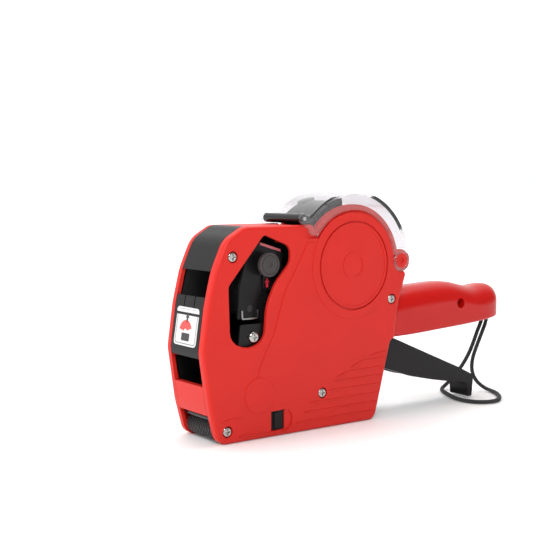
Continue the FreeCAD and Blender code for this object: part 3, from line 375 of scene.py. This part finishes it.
def strap_line():
    """Evenly spaced points along the strap's NURBS route."""
    curve = bpy.data.curves.new("strap_route", "CURVE")
    curve.dimensions = "3D"
    curve.resolution_u = ROUTE_RESOLUTION
    spline = curve.splines.new("NURBS")
    spline.points.add(len(STRAP_ROUTE) - 1)
    for point, place in zip(spline.points, STRAP_ROUTE):
        point.co = (place[0] * MM, place[1] * MM, place[2] * MM, 1.0)
    spline.order_u = 3
    spline.use_endpoint_u = True
    holder = bpy.data.objects.new("strap_route", curve)
    mesh = bpy.data.meshes.new_from_object(holder)
    dense = [vert.co.copy() for vert in mesh.vertices]
    bpy.data.objects.remove(holder)
    travelled = [0.0]
    for a, b in zip(dense, dense[1:]):
        travelled.append(travelled[-1] + (b - a).length)
    count = round(travelled[-1] / RING_STEP)
    line = []
    at = 0
    for i in range(count + 1):
        want = travelled[-1] * i / count
        while at < len(dense) - 2 and travelled[at + 1] < want:
            at += 1
        part = (want - travelled[at]) / max(travelled[at + 1] - travelled[at], 1e-12)
        line.append(dense[at].lerp(dense[at + 1], min(part, 1.0)))
    return line, travelled[-1]


def carried_frames(line):
    """A sideways pair of directions at each point that doesn't twist along the line."""
    frames = []
    normal = Vector((1, 0, 0))
    for i, here in enumerate(line):
        along = (line[min(i + 1, len(line) - 1)] - line[max(i - 1, 0)]).normalized()
        normal = (normal - along * normal.dot(along)).normalized()
        frames.append((normal.copy(), along.cross(normal)))
    return frames


def tube_rings(centres, frames, radius, sides, verts, faces):
    """Adds a closed tube through the centres to verts and faces."""
    start = len(verts)
    for centre, (across, up) in zip(centres, frames):
        for k in range(sides):
            angle = 2 * math.pi * k / sides
            verts.append(centre + across * (radius * math.cos(angle)) + up * (radius * math.sin(angle)))
    for i in range(len(centres) - 1):
        for k in range(sides):
            a = start + i * sides + k
            b = start + i * sides + (k + 1) % sides
            faces.append((a, b, b + sides, a + sides))
    faces.append(tuple(start + k for k in reversed(range(sides))))
    faces.append(tuple(len(verts) - sides + k for k in range(sides)))


def make_strap():
    """Braided strap: a round core with yarns wound both ways round it."""
    line, length = strap_line()
    frames = carried_frames(line)
    verts = []
    faces = []
    tube_rings(line, frames, CORE_R, CORE_SIDES, verts, faces)
    for way in (1, -1):
        for yarn in range(YARN_COUNT):
            centres = []
            for i, (here, (across, up)) in enumerate(zip(line, frames)):
                wound = 2 * math.pi * i * RING_STEP / YARN_PITCH
                angle = 2 * math.pi * yarn / YARN_COUNT + way * wound
                radius = YARN_CENTRE_R + way * YARN_WEAVE * math.cos(YARN_COUNT * wound)
                centres.append(here + across * (radius * math.cos(angle)) + up * (radius * math.sin(angle)))
            tube_rings(centres, carried_frames(centres), YARN_R, YARN_SIDES, verts, faces)
    strap = add_mesh("wrist_strap", verts, faces, FINISH["strap_cloth"])
    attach(strap, "frame")
    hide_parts("strap_cord")


make_strap()


# ---- plate on the ink cover ---------------------------------------------------------------------
PLATE_THICK = 0.30 * MM
PLATE_CORNER = 1.9 * MM
FILM = 0.05 * MM             # thickness of a printed film, and how far the plate lies below it
FILM_BANDS = 14              # bands that a film is cut into, so that it follows the curved face
CORNER_STEPS = 6
BORDER_INSET = 0.9 * MM
BORDER_WIDTH = 0.28 * MM
BORDER_CORNER = 1.4 * MM
BORDER_INNER_CORNER = 1.15 * MM

# The picture: heights are shares of the plate's height, lengths are metres.
ARROW_TOP = 0.87
ARROW_HALF = 1.6 * MM
ARROW_HEAD = 2.6 * MM
ARROW_STEM_HALF = 0.65 * MM
ARROW_LENGTH = 4.8 * MM
FAN_SHIFT = 0.6 * MM
FAN_FOOT = 0.37
FAN_RADII = (1.4 * MM, 5.6 * MM)
FAN_ANGLES = (10, 160)
FAN_STEPS = 10
BLOCK_HALF = 3.6 * MM
BLOCK_HEIGHTS = (0.13, 0.33)
BLOCK_CORNER = 0.6 * MM


def plate_face():
    """Place of the ink cover's outer face: x for each height, from the CAD plate's own corners."""
    rows = {}
    for vert in nodes["instruction_plate"].data.vertices:
        height = round(vert.co.z, 5)
        rows[height] = min(rows.get(height, 1.0), vert.co.x)
    profile = sorted(rows.items())

    def at(z):
        if z <= profile[0][0]:
            return profile[0][1]
        for (za, xa), (zb, xb) in zip(profile, profile[1:]):
            if z <= zb:
                return xa + (xb - xa) * (z - za) / (zb - za)
        return profile[-1][1]
    return at


face_x = plate_face()
plate_low, plate_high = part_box("instruction_plate")


def arc(cy, cz, radius, first, last, steps):
    """Points of an arc on the plate, from one angle to another in degrees."""
    points = []
    for i in range(steps + 1):
        angle = math.radians(first + (last - first) * i / steps)
        points.append((cy + radius * math.cos(angle), cz + radius * math.sin(angle)))
    return points


def rounded_box(y0, y1, z0, z1, radius):
    """Corners of a rounded rectangle on the plate, in order."""
    points = []
    for cy, cz, first in ((y1 - radius, z1 - radius, 0), (y0 + radius, z1 - radius, 90),
                          (y0 + radius, z0 + radius, 180), (y1 - radius, z0 + radius, 270)):
        points += arc(cy, cz, radius, first, first + 90, CORNER_STEPS)
    return points


def film(name, loops, sunk, thick, material):
    """Thin sheet on the plate's curved face: flat outlines in (y, z), wrapped and thickened."""
    mesh = bmesh.new()
    for loop in loops:
        mesh.faces.new([mesh.verts.new((0.0, y, z)) for y, z in loop])
    for i in range(1, FILM_BANDS):
        z = plate_low[2] + (plate_high[2] - plate_low[2]) * i / FILM_BANDS
        parts = mesh.verts[:] + mesh.edges[:] + mesh.faces[:]
        bmesh.ops.bisect_plane(mesh, geom=parts, plane_co=(0, 0, z), plane_no=(0, 0, 1))
    bmesh.ops.triangulate(mesh, faces=mesh.faces[:])
    for vert in mesh.verts:
        vert.co.x = face_x(vert.co.z) + sunk
    bmesh.ops.recalc_face_normals(mesh, faces=mesh.faces[:])
    if mesh.faces[0].normal.x > 0:
        bmesh.ops.reverse_faces(mesh, faces=mesh.faces[:])
    raised = bmesh.ops.extrude_face_region(mesh, geom=mesh.faces[:])
    for item in raised["geom"]:
        if isinstance(item, bmesh.types.BMVert):
            item.co.x += thick
    bmesh.ops.recalc_face_normals(mesh, faces=mesh.faces[:])
    data = bpy.data.meshes.new(name)
    mesh.to_mesh(data)
    mesh.free()
    obj = bpy.data.objects.new(name, data)
    bpy.context.scene.collection.objects.link(obj)
    data.materials.append(material)
    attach(obj, "ink_door")
    return obj


def ring_loops(outer, inner):
    """A frame between two outlines with the same number of corners, as quads."""
    count = len(outer)
    return [(outer[i], outer[(i + 1) % count], inner[(i + 1) % count], inner[i]) for i in range(count)]


def fan_loops(cy, cz):
    """The picture's fan as quads between two arcs."""
    inner = arc(cy, cz, FAN_RADII[0], *FAN_ANGLES, FAN_STEPS)
    outer = arc(cy, cz, FAN_RADII[1], *FAN_ANGLES, FAN_STEPS)
    return [(outer[i], outer[i + 1], inner[i + 1], inner[i]) for i in range(FAN_STEPS)]


def arrow_loop(middle, top):
    """Outline of the picture's arrow, which points up."""
    neck = top - ARROW_HEAD
    foot = top - ARROW_LENGTH
    return [(middle, top), (middle - ARROW_HALF, neck), (middle - ARROW_STEM_HALF, neck),
            (middle - ARROW_STEM_HALF, foot), (middle + ARROW_STEM_HALF, foot),
            (middle + ARROW_STEM_HALF, neck), (middle + ARROW_HALF, neck)]


def make_plate():
    """Silver plate with rounded corners, a thin border and a plain picture of the ink roller's change."""
    dark = printed("plate_dark_ink", (0.02, 0.02, 0.022))
    red = printed("plate_red_ink", (0.72, 0.06, 0.05))
    y0, y1 = plate_low[1], plate_high[1]
    z0, z1 = plate_low[2], plate_high[2]
    middle = (y0 + y1) / 2
    height = z1 - z0
    outline = rounded_box(y0, y1, z0, z1, PLATE_CORNER)
    body = film("label_plate_body", [outline], FILM, PLATE_THICK, FINISH["label_plate"])
    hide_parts("instruction_plate")
    edge = BORDER_INSET
    outer = rounded_box(y0 + edge, y1 - edge, z0 + edge, z1 - edge, BORDER_CORNER)
    edge = BORDER_INSET + BORDER_WIDTH
    inner = rounded_box(y0 + edge, y1 - edge, z0 + edge, z1 - edge, BORDER_INNER_CORNER)
    film("label_plate_border", ring_loops(outer, inner), 0, FILM, dark)
    film("label_plate_arrow", [arrow_loop(middle, z0 + ARROW_TOP * height)], 0, FILM, dark)
    film("label_plate_door", fan_loops(middle + FAN_SHIFT, z0 + FAN_FOOT * height), 0, FILM, red)
    block = rounded_box(middle - BLOCK_HALF, middle + BLOCK_HALF, z0 + BLOCK_HEIGHTS[0] * height,
                        z0 + BLOCK_HEIGHTS[1] * height, BLOCK_CORNER)
    film("label_plate_roller", [block], 0, FILM, dark)


make_plate()


# ---- floor and light ----------------------------------------------------------------------------
WORLD_NEAR = 0.22            # strength of the surround on the -Y side
WORLD_FAR = 1.15             # and on the +Y side
WORLD_TURN = (-0.35, 0.25)   # Y of the directions between which it changes
WORLD_SEEN = 1.0
FLOOR_HALF = 40.0
FLOOR_DROP = 0.1 * MM        # gap below the object, so that no faces coincide
FLOOR_NEAR = 0.25            # distance where the floor's painted glow starts to rise towards the backdrop
FLOOR_FAR = 1.10
# painted glow: the floor's emission strength near the object and far from it
FLOOR_GLOW = 0.02
FLOOR_FAR_GLOW = 0.75
FLOOR_SCALE = 3.0
FLOOR_TONES = (0.90, 0.92)

LAMP_TARGET = (0.03, 0.0, 0.06)
# Name, place, width and height in metres, and power in watts.
LAMPS = (
    ("key", (-0.55, -0.75, 0.70), (0.45, 0.35), 7.0),
    ("nose", (-0.9, 0.05, 0.30), (0.4, 0.5), 1.6),
    ("top", (0.1, 0.1, 0.9), (0.9, 0.5), 5.0),
)


def make_floor():
    """Pale floor with a painted glow (emission) that grows away from the object, so that it runs into the
    white backdrop.
    """
    size = FLOOR_HALF
    low = cad_box[0][2] - FLOOR_DROP
    verts = [(-size, -size, low), (size, -size, low), (size, size, low), (-size, size, low)]
    shader = Shader("floor_finish")
    soft = shader.noise(FLOOR_SCALE, 2.0)
    tone = shader.ramp(soft, tuple((at, (grey, grey, grey, 1)) for at, grey in zip((0.3, 0.7), FLOOR_TONES)))
    shader.link(tone, shader.bsdf.inputs["Base Color"])
    distance = shader.add("ShaderNodeVectorMath", operation="LENGTH")
    shader.link(shader.place, distance.inputs[0])
    painted_glow = shader.add("ShaderNodeMapRange")
    painted_glow.inputs["From Min"].default_value = FLOOR_NEAR
    painted_glow.inputs["From Max"].default_value = FLOOR_FAR
    painted_glow.inputs["To Min"].default_value = FLOOR_GLOW
    painted_glow.inputs["To Max"].default_value = FLOOR_FAR_GLOW
    shader.link(distance.outputs["Value"], painted_glow.inputs["Value"])
    # painted light: the floor glows, more the farther it lies from the object
    shader.link(painted_glow.outputs["Result"], shader.bsdf.inputs["Emission Strength"])
    shader.set(Emission_Color=(1, 1, 1, 1), Roughness=0.6)
    floor = add_mesh("floor", verts, [(0, 1, 2, 3)], shader.material, smooth=False)


def area_light(name, place, size, power):
    data = bpy.data.lights.new(name, "AREA")
    data.shape = "RECTANGLE"
    data.size = size[0]
    data.size_y = size[1]
    data.energy = power
    light = bpy.data.objects.new(name, data)
    bpy.context.scene.collection.objects.link(light)
    light.location = place
    light.rotation_euler = (Vector(LAMP_TARGET) - Vector(place)).to_track_quat("-Z", "Y").to_euler()


def make_world():
    """Soft studio surround: bright light from behind, dim from the near side, and a plain white look."""
    world = bpy.data.worlds.new("studio")
    world.use_nodes = True
    tree = world.node_tree
    background = tree.nodes["Background"]
    direction = tree.nodes.new("ShaderNodeTexCoord").outputs["Generated"]
    split = tree.nodes.new("ShaderNodeSeparateXYZ")
    tree.links.new(direction, split.inputs["Vector"])
    around = tree.nodes.new("ShaderNodeMapRange")
    around.interpolation_type = "SMOOTHSTEP"
    around.inputs["From Min"].default_value = WORLD_TURN[0]
    around.inputs["From Max"].default_value = WORLD_TURN[1]
    around.inputs["To Min"].default_value = WORLD_NEAR
    around.inputs["To Max"].default_value = WORLD_FAR
    tree.links.new(split.outputs["Y"], around.inputs["Value"])
    path = tree.nodes.new("ShaderNodeLightPath")
    seen = tree.nodes.new("ShaderNodeMath")
    seen.operation = "MAXIMUM"
    tree.links.new(path.outputs["Is Camera Ray"], seen.inputs[0])
    tree.links.new(path.outputs["Is Transmission Ray"], seen.inputs[1])
    pick = tree.nodes.new("ShaderNodeMix")
    pick.inputs["B"].default_value = WORLD_SEEN
    tree.links.new(seen.outputs["Value"], pick.inputs["Factor"])
    tree.links.new(around.outputs["Result"], pick.inputs["A"])
    tree.links.new(pick.outputs["Result"], background.inputs["Strength"])
    background.inputs["Color"].default_value = (1, 1, 1, 1)
    bpy.context.scene.world = world


make_floor()
make_world()
for lamp in LAMPS:
    area_light(*lamp)
